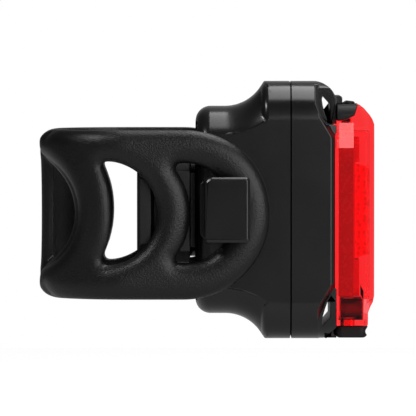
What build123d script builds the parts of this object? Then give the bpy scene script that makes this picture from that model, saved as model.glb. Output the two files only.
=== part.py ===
"""Strap-on bicycle rear light, in millimetres.

The origin is on the axis of the seat post, at mid height of the housing.
+Z runs up the post, +X points backwards along the light's beam and the lens faces +X.
"""

from build123d import *
import math
import os

os.makedirs("parts", exist_ok=True)

# Post, and what wraps it
post_radius = 12.7
pad_thickness = 0.5
pad_height = 19.4
pad_half_angle = 66
saddle_wall = 1.8
saddle_height = 20.6
saddle_flat_height = 13.0
saddle_tip_x = 4.0
saddle_half_width = 13.8
saddle_boss_length = 2.8
saddle_waist = 0.9
saddle_bevel_width = 2.3
saddle_tip_bevel = 0.5
neck_length = 1.1
neck_width = 17.0
neck_height = 18.4
neck_corner = 2.0

# Housings, outside
body_width = 28.8
body_height = 51.2
body_corner = 7.6
rear_step = 5.0
rear_block_length = 5.9
rear_crown_width = 12.3
rear_crown_radius = 9.0
rear_rounding = 3.0
sweep_radius = 8.5
sweep_angle = 56
shoulder_radius = 1.5
flange_length = 5.89
seam_bevel = 0.15
front_length = 9.08
front_top_rounding = 4.3
front_foot_bevel = 2.4
front_side_bevel = 1.1

# Housings, inside
housing_wall = 1.8
front_wall = 2.2
bay_corner = 5.7
deep_bay_end_room = 9.6
shallow_bay_length = 4.0
window_width = 14.0
window_height = 22.0
window_corner = 1.5

# Side cutaways and through slots of the front housing
cutaway_depth = 1.3
cutaway_band = 1.0
cutaway_length = 4.52
cutaway_height = 9.6
cutaway_foot = 11.5
notch_setback = 0.2
notch_half_width = 9.6
notch_foot = 17.1
cutaway_shares = [(0, 1), (0.24, 0.74), (0.57, 0.48), (0.88, 0.22), (1, 0)]
slot_from_face = 1.28
slot_width = 1.64
slot_height = 5.6
slot_foot = 17.2
slot_shares = [(1, 0), (1, 0.71), (0.12, 1), (0, 0.87), (0.12, 0.66), (0.4, 0.37), (0.72, 0.12)]
brow_length = 1.24
brow_root = 1.2
brow_height = 1.7
brow_width = 13.0
brow_rounding = 0.6

# Hooks for the strap, one on each side
hook_z = 0.4
shank_x = 17.6
shank_length = 5.4
shank_height = 10.4
shank_corner = 1.5
hook_head_lead = 0.1
hook_head_length = 8.9
hook_head_height = 13.0
hook_head_thickness = 2.2
hook_head_corner = 0.8
hook_head_bevel = 0.5
hook_corner_cut = 1.7
hook_root_spread = 1.2
hook_root_height = 0.25

# Strap
strap_z = -0.4
strap_thickness = 3.1
strap_width = 34.2
strap_side_gap = 0.3
strap_post_gap = 0.1
strap_corner = 3.6
loop_radius = 10.0
loop_arm = 7.1
loop_shank_gap = 0.3
hole_corner = 1.0
loop_rung_bulge = 14.2
loop_rung_gap = 3.0
hole_radius = 10.3
hole_x = -2.2
hole_rung_x = -1.1
hole_rung_bulge = 20.3
bend_hole_x = -8.4
bend_hole_radius = 11.7
bend_hole_back = -18.0

# Housing screws, along the beam
screw_y = 9.6
screw_from_end = 4.8
screw_radius = 1.0
screw_head_radius = 1.9
screw_head_height = 1.3
screw_recess = 2.0
screw_reach = 5.0
boss_radius = 2.6
screw_drive_radius = 0.8
screw_drive_depth = 0.6

# Saddle screws
saddle_screw_z = 5.0
saddle_screw_radius = 0.9
saddle_screw_head_radius = 1.7
saddle_screw_head_height = 0.65
saddle_screw_length = 4.4
saddle_boss_radius = 2.4
saddle_boss_height = 1.1

# Seals
seal_width = 0.9
seal_depth = 0.9
lens_seal_thickness = 0.3

# Battery and its bay
battery_thickness = 11.0
battery_width = 22.0
battery_end_room = 7.6
battery_corner = 2.5
battery_edge = 1.2
foam_thickness = 1.0
foam_end_inset = 2.0
foam_width = 17.0
rib_thickness = 1.2
rib_length = 9.0
retainer_thickness = 1.2
retainer_width = 12.0
retainer_screw_from_end = 4.6
retainer_boss_radius = 2.1
retainer_screw_radius = 0.8
retainer_screw_head_radius = 1.5
retainer_screw_head_height = 0.9
retainer_screw_length = 5.0
retainer_notch_width = 6.0
retainer_notch_height = 6.0
lead_diameter = 0.9
lead_spacing = 2.0
lead_start_z = 8.0
lead_end_z = 5.6
lead_bend_share = 0.45
plug_length = 4.6
plug_width = 5.8
plug_height = 4.2
plug_corner = 0.4

# Circuit board and what is on it
board_thickness = 1.0
board_side_gap = 0.8
board_top_gap = 0.3
board_corner = 1.5
board_screw_from_side = 2.0
board_screw_from_end = 1.5
board_screw_radius = 0.7
board_screw_head_radius = 1.3
board_screw_head_height = 0.7
board_screw_length = 3.6
board_boss_radius = 1.8
board_boss_length = 2.0
chip_size = 5.0
chip_thickness = 0.9
chip_z = -4.0
coil_size = 4.0
coil_corner = 1.0
coil_thickness = 1.6
coil_y = 4.2
coil_from_end = 6.7
capacitor_length = 2.0
capacitor_width = 1.25
capacitor_pitch = 2.2
capacitor_count = 4
capacitor_z = 0.9
led_spacing = 9.0
led_size = 3.5
led_corner = 0.35
led_base = 0.7
led_dome_radius = 1.4
side_led_length = 2.8
side_led_width = 1.2
side_led_height = 1.1
side_led_from_side = 2.8
side_led_spacing = 15.0

# Optics inside the lens
cup_wall = 0.5
cup_depth = 2.3
cup_mouth_radius = 3.9
cup_throat_radius = 2.0
cup_led_gap = 1.3
cup_switch_gap = 2.6
cup_corner = 1.5
guide_depth = 2.3
guide_thickness = 2.2
guide_top_gap = 1.4
guide_foot_gap = 0.6
guide_step_top = 9.3
guide_step_foot = 7.7
guide_step_depth = 0.5
guide_skirt_gap = 0.12
frame_web = 0.3
frame_depth = 1.2
frame_side_gap = 0.6
frame_window_width = 15.0
frame_sill = 1.0
frame_window_corner = 1.0
panel_end_room = 5.1
panel_side_gap = 0.7
panel_side_draft = 2.0
panel_taper_height = 0.9
cell_radius = 0.32
cell_pitch = 1.3
cell_depth = 0.12
cell_columns = 2

# Lens
lens_length = 7.48
lens_width = 26.4
lens_top_drop = 4.5
lens_foot_rise = 2.66
lens_corner = 2.5
lens_front_corner = 2.0
lens_wall = 1.0
lens_side_wall = 1.2
lens_crown_height = 3.94
lens_crown_length = 2.98
lens_heel_height = 6.04
lens_heel_length = 1.26
lens_toe_height = 2.64
crown_shares = [(0, 0), (0.13, 0.26), (0.33, 0.49), (0.7, 0.82), (1, 1)]
heel_shares = [(1, 0), (0.78, 0.36), (0.35, 0.64), (0, 1)]
lens_pit_room = 5.34
lens_bay_corner = 2.0
lens_pit_length = 5.34
lens_rim_depth = 0.7
lens_rim_inset = 0.6
lens_flange_lip = 0.5
lens_flange_height = 32.0
lens_flange_thickness = 0.6
lens_flange_depth = 0.3

# Button
seat_drop = 3.3
seat_shares = [(0, 0), (0.45, 0.1), (0.83, 0.34), (1, 1)]
seat_length = 4.24
key_length = 2.4
key_from_front = 0.5
key_ramp_length = 0.9
key_ramp_proud = 0.1
key_front_drop = 0.15
key_width = 12.0
key_height = 1.2
key_proud = 0.6
key_edge = 0.3
key_travel = 0.5
key_floor_gap = 0.2
stem_radius = 0.9
switch_width = 6.0
switch_depth = 2.2
switch_height = 3.0
switch_top_gap = 0.7
plunger_radius = 0.8
plunger_height = 0.8
plunger_travel = 0.25
plunger_gap = 0.3

# Charging socket and its cover
socket_depth = 2.7
socket_width = 7.6
socket_height = 5.3
socket_wall = 0.3
socket_corner = 0.7
tongue_thickness = 0.7
tongue_width = 4.6
tongue_recess = 0.9
shroud_width = 13.0
shroud_height = 3.9
shroud_length = 4.2
cover_thickness = 2.4
cover_width = 18.0
cover_gap = 0.06
cover_pivot_lead = 0.74
cover_front_setback = 1.2
cover_corner = 1.0
cover_plan_corner = 1.6
grip_radius = 0.8
grip_inset = 0.35
stub_depth = 0.9
stub_width = 5.4
stub_height = 0.8
stub_from_pivot = 1.3
anchor_length = 1.6
anchor_gap = 0.3
anchor_height = 1.3

# Fits
slip = 0.1
thread_slip = 0.03
seat_gap = 0.05
moving_gap = 0.2
overrun = 1.0
hair = 0.01

# Heights, worked out from the housing's
rear_height = body_height - 2 * rear_step
deep_bay_height = body_height - 2 * deep_bay_end_room
screw_z = rear_height / 2 - screw_from_end
retainer_screw_z = rear_height / 2 - retainer_screw_from_end
battery_height = rear_height - 2 * battery_end_room
foam_height = battery_height - 2 * foam_end_inset
lens_top = body_height / 2 - lens_top_drop
lens_foot = body_height / 2 - lens_foot_rise
seat_low = lens_top - seat_drop
lens_bay_top = seat_low - lens_rim_inset - lens_side_wall
lens_bay_foot = lens_foot - lens_pit_room
switch_top = lens_bay_top - switch_top_gap
guide_top = lens_bay_top - guide_top_gap
guide_foot = lens_bay_foot - guide_foot_gap
board_height = 2 * (lens_bay_top - board_top_gap)
board_screw_z = board_height / 2 - board_screw_from_end
coil_z = coil_from_end - board_height / 2
cup_plate_height = 2 * (switch_top - switch_height - cup_switch_gap)
panel_height = 2 * (guide_top - panel_end_room)
frame_window_height = panel_height - 2 * frame_sill
cell_rows = int((panel_height - 2 * panel_taper_height) / cell_pitch)

# Widths, worked out from the lens's
lens_bay_width = lens_width - 2 * lens_side_wall
lens_flange_width = lens_width + 2 * lens_flange_lip
board_width = lens_bay_width - 2 * board_side_gap
board_screw_y = board_width / 2 - board_screw_from_side
side_led_y = board_width / 2 - side_led_from_side
cup_plate_width = 2 * (side_led_y - side_led_width / 2 - cup_led_gap)
frame_width = lens_bay_width - 2 * frame_side_gap
panel_back_width = lens_bay_width - 2 * panel_side_gap
panel_front_width = panel_back_width - 2 * panel_side_draft
front_cell_columns = int(panel_front_width / cell_pitch)

# Stations along the beam, worked out from the post axis
saddle_back = post_radius + saddle_wall
rear_x = saddle_back + neck_length
sweep_x = rear_x + rear_block_length
sweep_rise = sweep_radius * (1 - math.cos(math.radians(sweep_angle)))
ramp_rise = rear_step - sweep_rise - shoulder_radius * (1 - math.cos(math.radians(sweep_angle)))
ramp_run = ramp_rise / math.tan(math.radians(sweep_angle))
ramp_end_x = sweep_x + sweep_radius * math.sin(math.radians(sweep_angle)) + ramp_run
flange_x = ramp_end_x - shoulder_radius * (1 - math.sin(math.radians(sweep_angle)))
seam_x = flange_x + flange_length
face_x = seam_x + front_length
lens_x = face_x + lens_length
board_x = face_x + board_thickness
bay_width = body_width - 2 * housing_wall
strap_inner = body_width / 2 + strap_side_gap
strap_outer = strap_inner + strap_thickness
bend_x = strap_inner - post_radius - strap_post_gap
loop_x = shank_x + shank_length + loop_shank_gap - loop_radius
strap_half = strap_width / 2
hook_under = strap_outer + strap_side_gap
foam_x = rear_x + housing_wall + saddle_boss_height
battery_x = foam_x + foam_thickness
battery_front = battery_x + battery_thickness
retainer_x = battery_front + moving_gap
plunger_x = board_x + switch_depth / 2
stem_foot = switch_top + plunger_height + plunger_gap
lens_section_height = lens_top + lens_foot
lens_section_z = (lens_top - lens_foot) / 2
cover_top = -lens_foot - cover_gap
cover_pivot_x = face_x + cover_pivot_lead
cover_pivot_z = cover_top - cover_thickness / 2


def brick(x0, x1, y0, y1, z0, z1):
    """A box between six planes."""
    return Pos((x0 + x1) / 2, (y0 + y1) / 2, (z0 + z1) / 2) * Box(x1 - x0, y1 - y0, z1 - z0)


def slab(x0, x1, width, height, corner, y=0, z=0):
    """A rounded rectangle seen along the beam, from x0 to x1."""
    face = Plane.YZ.offset(x0) * Pos(y, z) * RectangleRounded(width, height, corner)
    return extrude(face, amount=x1 - x0)


def rod(x0, x1, y, z, radius):
    """A cylinder along the beam."""
    return extrude(Plane.YZ.offset(x0) * Pos(y, z) * Circle(radius), amount=x1 - x0)


def post(x, y, z0, z1, radius):
    """A cylinder along the seat post."""
    return Pos(x, y, (z0 + z1) / 2) * Cylinder(radius, z1 - z0)


def across(sketch, y0, y1):
    """A side outline, drawn in X and Z, carried across the width from y0 to y1."""
    return Pos(0, y1, 0) * extrude(Plane.XZ * sketch, amount=y1 - y0)


def outline(points):
    """The face inside a closed row of points."""
    return make_face(Polyline(*points, close=True))


def both_sides(solid):
    """The solid and its mirror image on the other side of the light."""
    return solid + mirror(solid, Plane.XZ)


def at_corners(y, z):
    """The four places at plus and minus y and z."""
    return [(sy * y, sz * z) for sy in (-1, 1) for sz in (-1, 1)]


def edges_at(solid, x):
    """The edges that lie in the plane across the beam at x."""
    found = []
    for edge in solid.edges():
        box = edge.bounding_box()
        if abs(box.min.X - x) < hair and abs(box.max.X - x) < hair:
            found.append(edge)
    return found


def write(name, solid):
    """Writes one piece, or one group of like pieces, under its own name."""
    export_step(solid, f"parts/{name}.step")


def ring(x0, x1, width, height, corner, thickness, z=0):
    """A rounded rectangular frame of one thickness."""
    inside = slab(x0 - overrun, x1 + overrun, width - 2 * thickness, height - 2 * thickness,
                  corner - thickness, z=z)
    return slab(x0, x1, width, height, corner, z=z) - inside


def screw(head_x, y, z, head_radius, head_height, radius, length, forward=1):
    """A pan head screw along the beam, its head's back at head_x, with a hexagon socket."""
    seat = head_x + forward * head_height
    tip = seat + forward * length
    head = rod(min(head_x, seat), max(head_x, seat), y, z, head_radius)
    shank = rod(min(seat, tip), max(seat, tip), y, z, radius)
    depth = head_height * screw_drive_depth / screw_head_height
    size = head_radius * screw_drive_radius / screw_head_radius
    face = Plane.YZ.offset(head_x) * Pos(y, z) * RegularPolygon(size, 6)
    socket = extrude(face, amount=forward * depth)
    return head + shank - socket


def rear_shell():
    """Outside of the rear housing: the crowned rear block swept up to the tall flange."""
    half = rear_height / 2
    side = rear_crown_width / 2 + rear_crown_radius
    arc = CenterArc((sweep_x, half + sweep_radius), sweep_radius, 270, sweep_angle)
    past = 2 * rear_crown_radius
    rise = past * math.tan(math.radians(sweep_angle))
    start = Polyline((ramp_end_x + past, 0), (rear_x, 0), (rear_x, half), (sweep_x, half))
    far_top = half + sweep_rise + ramp_rise + rise
    ramp = Polyline(arc @ 1, (ramp_end_x + past, far_top), (ramp_end_x + past, 0))
    upper = across(make_face(start + arc + ramp), -side, side)
    long_edges = []
    for edge in upper.edges():
        centre = edge.center()
        if abs(abs(centre.Y) - side) < hair and centre.Z > half - hair:
            long_edges.append(edge)
    upper = fillet(long_edges, rear_crown_radius)
    upper &= brick(rear_x, flange_x + shoulder_radius, -body_width / 2, body_width / 2, 0, body_height)
    block = upper + mirror(upper, Plane.XY)
    block = fillet(edges_at(block, rear_x), rear_rounding)
    block &= slab(rear_x, flange_x + shoulder_radius, body_width, body_height, body_corner)
    flange = slab(flange_x, seam_x, body_width, body_height, body_corner)
    flange = chamfer(edges_at(flange, seam_x), seam_bevel)
    return block + fillet(edges_at(flange, flange_x), shoulder_radius)


def hook():
    """One strap hook: a shank out of the side wall and a wide flat head."""
    side = body_width / 2
    shank = Pos(shank_x + shank_length / 2, hook_z) * RectangleRounded(
        shank_length, shank_height, shank_corner)
    shank &= Pos(loop_x, strap_z) * Circle(loop_radius - loop_shank_gap)
    spread = Pos(shank_x + (shank_length - hook_root_spread) / 2, hook_z) * RectangleRounded(
        shank_length + hook_root_spread, shank_height + hook_root_spread, shank_corner)
    head_x = shank_x - hook_head_lead + hook_head_length / 2
    face = Pos(head_x, hook_z) * RectangleRounded(hook_head_length, hook_head_height, hook_head_corner)
    head = across(face, -hook_under - hook_head_thickness, -hook_under)
    outer = [e for e in head.edges() if abs(e.center().Y + hook_under + hook_head_thickness) < hair]
    head = chamfer(outer, hook_head_bevel)
    corner = (shank_x - hook_head_lead, -hook_under - hook_head_thickness, hook_z + hook_head_height / 2)
    cut = Plane(origin=corner, z_dir=(-1, -1, 1)).offset(-hook_corner_cut / math.sqrt(3))
    head -= extrude(cut * Rectangle(hook_head_height, hook_head_height), amount=hook_head_height)
    stem = across(shank, -hook_under - hair, -side + housing_wall / 2)
    root = across(spread, -side - hook_root_height, -side + housing_wall / 2)
    return head + stem + root


def rear_housing():
    """The rear half of the case, with its battery bay, screw bosses, hooks and neck."""
    shell = rear_shell()
    shell += slab(saddle_back, rear_x + housing_wall / 2, neck_width, neck_height, neck_corner)
    inner = rear_x + housing_wall
    shell -= slab(inner, seam_x + overrun, bay_width, rear_height - 2 * housing_wall, bay_corner)
    shell -= slab(flange_x + shoulder_radius + housing_wall / 2, seam_x + overrun, bay_width,
                  body_height - 2 * housing_wall, body_corner - housing_wall)
    bay = slab(inner - hair, seam_x, bay_width + hair, rear_height - 2 * housing_wall + hair, bay_corner)
    for y, z in at_corners(screw_y, screw_z):
        shell += rod(inner - housing_wall / 2, seam_x, y, z, boss_radius)
    low = battery_height / 2 + slip
    for sign in (-1, 1):
        shelf = brick(inner - hair, battery_x + rib_length, -bay_width / 2 - hair,
                      bay_width / 2 + hair, low, low + rib_thickness)
        shelf += rod(inner - hair, retainer_x, 0, retainer_screw_z, retainer_boss_radius)
        if sign < 0:
            shelf = mirror(shelf, Plane.XY)
        shell += shelf & bay
        shell += rod(inner - hair, foam_x, 0, sign * saddle_screw_z, saddle_boss_radius)
    return shell - rear_screw_holes() + both_sides(hook())


def rear_screw_holes():
    """The rear housing's holes: sunk case screws, saddle screws and retainer screws."""
    head_seat = rear_x + screw_recess + screw_head_height
    holes = []
    for y, z in at_corners(screw_y, screw_z):
        holes.append(rod(rear_x - overrun, head_seat, y, z, screw_head_radius + slip))
        holes.append(rod(rear_x, seam_x + overrun, y, z, screw_radius + slip))
    for sign in (-1, 1):
        holes.append(rod(saddle_back - overrun, foam_x + overrun, 0, sign * saddle_screw_z,
                         saddle_screw_radius + thread_slip))
        holes.append(rod(retainer_x - retainer_screw_length, retainer_x + overrun, 0,
                         sign * retainer_screw_z, retainer_screw_radius + thread_slip))
    return holes


def front_blank():
    """Outside of the front housing, from its section, its side view and its plan."""
    side = body_width / 2
    half = body_height / 2
    blank = slab(seam_x, face_x, body_width, body_height, body_corner)
    blank = chamfer(edges_at(blank, seam_x), seam_bevel)
    crown = CenterArc((face_x - front_top_rounding, half - front_top_rounding),
                      front_top_rounding, 90, -90)
    foot = Polyline(crown @ 1, (face_x, front_foot_bevel - half),
                    (face_x - front_foot_bevel, -half), (seam_x, -half), (seam_x, half), crown @ 0)
    blank &= across(make_face(crown + foot), -side, side)
    edge = side - front_side_bevel
    plan = outline([(seam_x, -side), (face_x - front_side_bevel, -side), (face_x, -edge),
                    (face_x, edge), (face_x - front_side_bevel, side), (seam_x, side)])
    return blank & Pos(0, 0, -half) * extrude(plan, amount=body_height)


def cutaway(band):
    """Outline in front of the side face's front edge, above the straight middle."""
    root = face_x - cutaway_length + band
    points = [(root + cutaway_length * u, cutaway_foot + cutaway_height * v)
              for u, v in cutaway_shares]
    far = face_x + overrun + band
    top = body_height / 2 + overrun
    return outline([(root, top), *points, (far, cutaway_foot), (far, top)])


def slot():
    """Outline of one through slot behind the lens."""
    corner = face_x - slot_from_face - slot_width
    return outline([(corner + slot_width * u, slot_foot + slot_height * v) for u, v in slot_shares])


def front_housing():
    """The front half of the case: bezel, light window, side cutaways and slots."""
    side = body_width / 2
    shell = front_blank()
    floor = face_x - front_wall
    shell -= slab(seam_x - overrun, seam_x + shallow_bay_length, bay_width,
                  body_height - 2 * housing_wall, body_corner - housing_wall)
    shell -= slab(seam_x - overrun, floor, bay_width, deep_bay_height, body_corner - housing_wall)
    shell -= slab(seam_x - overrun, seam_x + seal_depth, bay_width + 2 * seal_width,
                  body_height - 2 * (housing_wall - seal_width), body_corner - housing_wall + seal_width)
    bay = slab(seam_x, face_x, body_width - housing_wall, body_height - housing_wall, body_corner)
    shell -= slab(floor - overrun, face_x + overrun, window_width, window_height, window_corner)
    for y, z in at_corners(screw_y, screw_z):
        shell += rod(seam_x, floor + hair, y, z, boss_radius) & bay
    for y, z in at_corners(board_screw_y, board_screw_z):
        shell += rod(floor - board_boss_length, floor + hair, y, z, board_boss_radius)
    for y, z in at_corners(screw_y, screw_z):
        shell -= rod(seam_x - overrun, seam_x + screw_reach + slip, y, z, screw_radius + thread_slip)
    for y, z in at_corners(board_screw_y, board_screw_z):
        shell -= rod(face_x - board_screw_length - slip, face_x + overrun, y, z,
                     board_screw_radius + thread_slip)
    inner = Plane.XZ.offset(side - cutaway_depth) * cutaway(cutaway_band)
    outer = Plane.XZ.offset(side + hair) * cutaway(0)
    cut = loft([inner.face(), outer.face()], ruled=True)
    around = across(cutaway(cutaway_band), -side, side)
    around -= slab(seam_x, face_x + 2 * overrun, body_width - 2 * cutaway_depth, body_height, body_corner)
    corner = across(cutaway(notch_setback), -side, side)
    corner -= brick(seam_x, face_x + 2 * overrun, -notch_half_width, notch_half_width, 0, body_height)
    corner &= brick(seam_x, face_x + 2 * overrun, -body_width, body_width, notch_foot, body_height)
    cut = both_sides(cut) + around
    shell -= cut + mirror(cut, Plane.XY)
    shell -= corner
    slots = across(slot(), -side, side)
    shell -= slots + mirror(slots, Plane.XY)
    shell -= lens_groove()
    brow_top = lens_top + brow_height
    brow = brick(face_x - brow_root, face_x + brow_length, -brow_width / 2, brow_width / 2, lens_top, brow_top)
    rounded = [e for e in brow.edges() if e.center().X > face_x + brow_length - hair
               and e.center().Z > brow_top - hair]
    return shell + fillet(rounded, brow_rounding)


def lens_groove():
    """What the front housing gives up for the lens rim, its seal and its flange."""
    width = lens_width - 2 * lens_rim_inset
    height = lens_section_height - 2 * lens_rim_inset
    deep = face_x - lens_rim_depth - lens_seal_thickness
    groove = ring(deep, face_x + overrun, width + 2 * slip, height + 2 * slip, lens_corner,
                  lens_side_wall + 2 * slip, z=lens_section_z)
    above = brick(deep - overrun, face_x + 2 * overrun, -lens_width, lens_width,
                  seat_low - lens_rim_inset, lens_top + overrun)
    across_top = brick(deep, face_x + overrun, -width / 2 - slip, width / 2 + slip,
                       lens_bay_top - slip, seat_low - lens_rim_inset + slip)
    flange = slab(face_x - lens_flange_depth, face_x + overrun, lens_flange_width + 2 * slip,
                  lens_flange_height + 2 * slip, lens_corner)
    return groove - above + across_top + flange


def rim(x0, x1, gap=0):
    """The lens's rim, or a seal of the same outline, between two stations."""
    width = lens_width - 2 * lens_rim_inset
    height = lens_section_height - 2 * lens_rim_inset
    frame = ring(x0, x1, width - 2 * gap, height - 2 * gap, lens_corner, lens_side_wall, z=lens_section_z)
    above = brick(x0 - overrun, x1 + overrun, -lens_width, lens_width,
                  seat_low - lens_rim_inset - gap, lens_top + overrun)
    bar = brick(x0, x1, -width / 2 + gap, width / 2 - gap, lens_bay_top,
                seat_low - lens_rim_inset - gap)
    return frame - above + bar


def seat_points(drop=0):
    """The button's seat in the side view, from the housing forward."""
    rise = lens_top - seat_low
    return [(face_x + seat_length * u, seat_low - drop + rise * v) for u, v in seat_shares]


def lens_blank():
    """Outside of the lens, from its section, its side view and its plan."""
    section = slab(face_x, lens_x, lens_width, lens_section_height, lens_corner, z=lens_section_z)
    shoulder = lens_top - lens_crown_height
    crown = [(lens_x - lens_crown_length * u, shoulder + lens_crown_height * v)
             for u, v in crown_shares]
    ankle = lens_heel_height - lens_toe_height
    heel = [(lens_x - lens_heel_length * (1 - u), lens_heel_height - lens_foot - ankle * v)
            for u, v in heel_shares]
    toe = (lens_x - lens_heel_length, -lens_foot)
    side = outline(seat_points() + crown[::-1] + heel + [toe, (face_x, -lens_foot)])
    depth = lens_length + lens_width
    plan = Pos(lens_x - depth / 2, 0) * RectangleRounded(depth, lens_width, lens_front_corner)
    upright = Pos(0, 0, -lens_foot) * extrude(plan, amount=lens_section_height)
    return section & across(side, -lens_width / 2, lens_width / 2) & upright


def lens():
    """The clear red lens, hollow, with its rim, flange, stem hole and socket opening."""
    shell = lens_blank()
    shell -= slab(face_x - overrun, lens_x - lens_wall, lens_bay_width, lens_bay_top + lens_bay_foot,
                  lens_bay_corner, z=(lens_bay_top - lens_bay_foot) / 2)
    pit_low = lens_side_wall - lens_foot
    pit_high = 2 * lens_bay_corner - lens_bay_foot
    shell -= slab(face_x - overrun, face_x + lens_pit_length, lens_bay_width, pit_high - pit_low,
                  lens_bay_corner, z=(pit_low + pit_high) / 2)
    shell += rim(face_x - lens_rim_depth, face_x)
    back = face_x - lens_flange_depth
    flange = slab(back, back + lens_flange_thickness, lens_flange_width, lens_flange_height, lens_corner)
    shell += flange - brick(back - overrun, face_x + overrun, -lens_bay_width / 2, lens_bay_width / 2,
                            -lens_flange_height, lens_flange_height)
    shell -= post(plunger_x, 0, lens_bay_top - overrun, lens_top, stem_radius + moving_gap)
    shell -= brick(board_x - slip, board_x + socket_depth + slip, -socket_width / 2 - slip,
                   socket_width / 2 + slip, -lens_foot - overrun, pit_low + overrun)
    return shell


def key_outline():
    """The button key from above."""
    front = face_x + seat_length - key_from_front
    return Pos(front - key_length / 2, 0) * RectangleRounded(
        key_length, key_width, key_length / 2 - hair)


def button_pad():
    """The fixed rubber pad around the key, on its seat in the lens."""
    section = slab(face_x + seat_gap, lens_x, lens_width, lens_section_height, lens_corner,
                   z=lens_section_z)
    points = [(x, z + seat_gap) for x, z in seat_points()]
    front = (face_x + seat_length - seat_gap, lens_top)
    side = outline([*points[:-1], front, (face_x, lens_top)])
    pad = section & across(side, -lens_width / 2, lens_width / 2)
    pocket = offset(key_outline(), moving_gap)
    floor = lens_top + key_proud - key_height - key_travel - key_floor_gap
    pad -= Pos(0, 0, floor) * extrude(pocket, amount=key_height + overrun)
    return pad - post(plunger_x, 0, seat_low - overrun, lens_top, stem_radius + moving_gap)


def power_button():
    """The moving key with its stem down to the switch."""
    top = lens_top + key_proud
    cap = Pos(0, 0, top - key_height) * extrude(key_outline(), amount=key_height)
    rim_edges = [e for e in cap.edges() if abs(e.center().Z - top) < hair]
    cap = fillet(rim_edges, key_edge)
    front = face_x + seat_length - key_from_front
    back = front - key_length
    low = top - key_height
    side = outline([(back, low), (back, lens_top + key_ramp_proud), (back + key_ramp_length, top),
                    (front, top - key_front_drop), (front, low)])
    cap &= across(side, -key_width / 2, key_width / 2)
    return cap + post(plunger_x, 0, stem_foot, top - key_height + hair, stem_radius)


def tact_switch():
    """The switch's body, on the board, its plunger's bore facing up."""
    body = brick(board_x, board_x + switch_depth, -switch_width / 2, switch_width / 2,
                 switch_top - switch_height, switch_top)
    bore_foot = switch_top - plunger_travel - plunger_height
    return body - post(plunger_x, 0, bore_foot, switch_top + overrun, plunger_radius + slip)


def switch_plunger():
    """The switch's moving plunger."""
    foot = switch_top - plunger_height + moving_gap
    return post(plunger_x, 0, foot, switch_top + plunger_height, plunger_radius)


def saddle():
    """The cradle against the post: two wings behind a cylindrical groove."""
    boss_end = saddle_tip_x + saddle_tip_bevel + saddle_boss_length
    half = saddle_half_width
    waist = half - saddle_waist
    right = [(saddle_tip_x, waist), (saddle_tip_x + saddle_tip_bevel, half),
             (boss_end - saddle_tip_bevel, half), (boss_end, waist), (saddle_back, waist)]
    left = [(x, -y) for x, y in reversed(right)]
    plan = extrude(outline(right + left), amount=saddle_height / 2, both=True)
    flat = saddle_flat_height / 2
    top = saddle_height / 2
    narrow = half - saddle_bevel_width
    ring_points = [(half, flat), (narrow, top), (-narrow, top), (-half, flat),
                   (-half, -flat), (-narrow, -top), (narrow, -top), (half, -flat)]
    section = extrude(Plane.YZ * outline(ring_points), amount=saddle_back + overrun)
    body = (plan & section) - post(0, 0, -saddle_height, saddle_height, post_radius + pad_thickness)
    for sign in (-1, 1):
        z = sign * saddle_screw_z
        seat = post_radius + pad_thickness + saddle_screw_head_height
        body -= rod(saddle_tip_x, seat, 0, z, saddle_screw_head_radius + slip)
        body -= rod(saddle_tip_x, saddle_back + overrun, 0, z, saddle_screw_radius + slip)
    return body


def saddle_pad():
    """The thin rubber lining of the groove, which grips the post."""
    reach = 2 * post_radius
    wide = reach * math.tan(math.radians(pad_half_angle))
    wedge = extrude(outline([(0, 0), (reach, -wide), (reach, wide)]), amount=pad_height / 2, both=True)
    pad = post(0, 0, -pad_height / 2, pad_height / 2, post_radius + pad_thickness - hair)
    return (pad & wedge) - post(0, 0, -pad_height, pad_height, post_radius)


def saddle_screws():
    """Two screws from the groove into the neck."""
    head = post_radius + pad_thickness + hair
    return Compound([screw(head, 0, sign * saddle_screw_z, saddle_screw_head_radius,
                           saddle_screw_head_height - hair, saddle_screw_radius,
                           saddle_screw_length) for sign in (-1, 1)])


def strap_band():
    """The whole strap before its holes: a U around the post with two loop ends."""
    bend = Pos(bend_x, 0) * (Circle(strap_outer) - Circle(strap_inner))
    bend &= Pos(bend_x - strap_outer / 2, 0) * Rectangle(strap_outer, 2 * strap_outer)
    end = loop_x + loop_radius + loop_arm
    leg = Pos((bend_x + end) / 2, (strap_inner + strap_outer) / 2) * Rectangle(end - bend_x, strap_thickness)
    band = extrude(bend + leg + mirror(leg, Plane.XZ), amount=strap_half, both=True)
    band = Pos(0, 0, strap_z) * band
    back = bend_x - strap_outer
    body = Pos((back + loop_x) / 2, strap_z) * Rectangle(loop_x - back, strap_width)
    corners = body.vertices().group_by(Axis.X)[0]
    body = fillet(corners, strap_corner)
    face = body + Pos(loop_x, strap_z) * Circle(strap_half)
    return band & across(face, -strap_outer - overrun, strap_outer + overrun)


def rounded_hole(sketch):
    """A strap hole with its two points rounded off."""
    return fillet(sketch.vertices(), hole_corner)


def loop_hole():
    """The loop that goes over the hook."""
    rung = shank_x - loop_rung_gap
    disc = Pos(loop_x, strap_z) * Circle(loop_radius)
    return rounded_hole(disc - Pos(rung - loop_rung_bulge, strap_z) * Circle(loop_rung_bulge))


def middle_hole():
    """The hole beside the post."""
    disc = Pos(hole_x, strap_z) * Circle(hole_radius)
    return rounded_hole(disc - Pos(hole_rung_x - hole_rung_bulge, strap_z) * Circle(hole_rung_bulge))


def bend_hole():
    """The hole on the bend, near side alone, which reaches the middle of the bend."""
    disc = Pos(bend_hole_x - bend_hole_radius, strap_z) * Circle(bend_hole_radius)
    reach = bend_hole_x - bend_hole_back
    window = Pos(bend_hole_back + reach / 2, strap_z) * Rectangle(reach, strap_width)
    return rounded_hole(disc & window)


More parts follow.
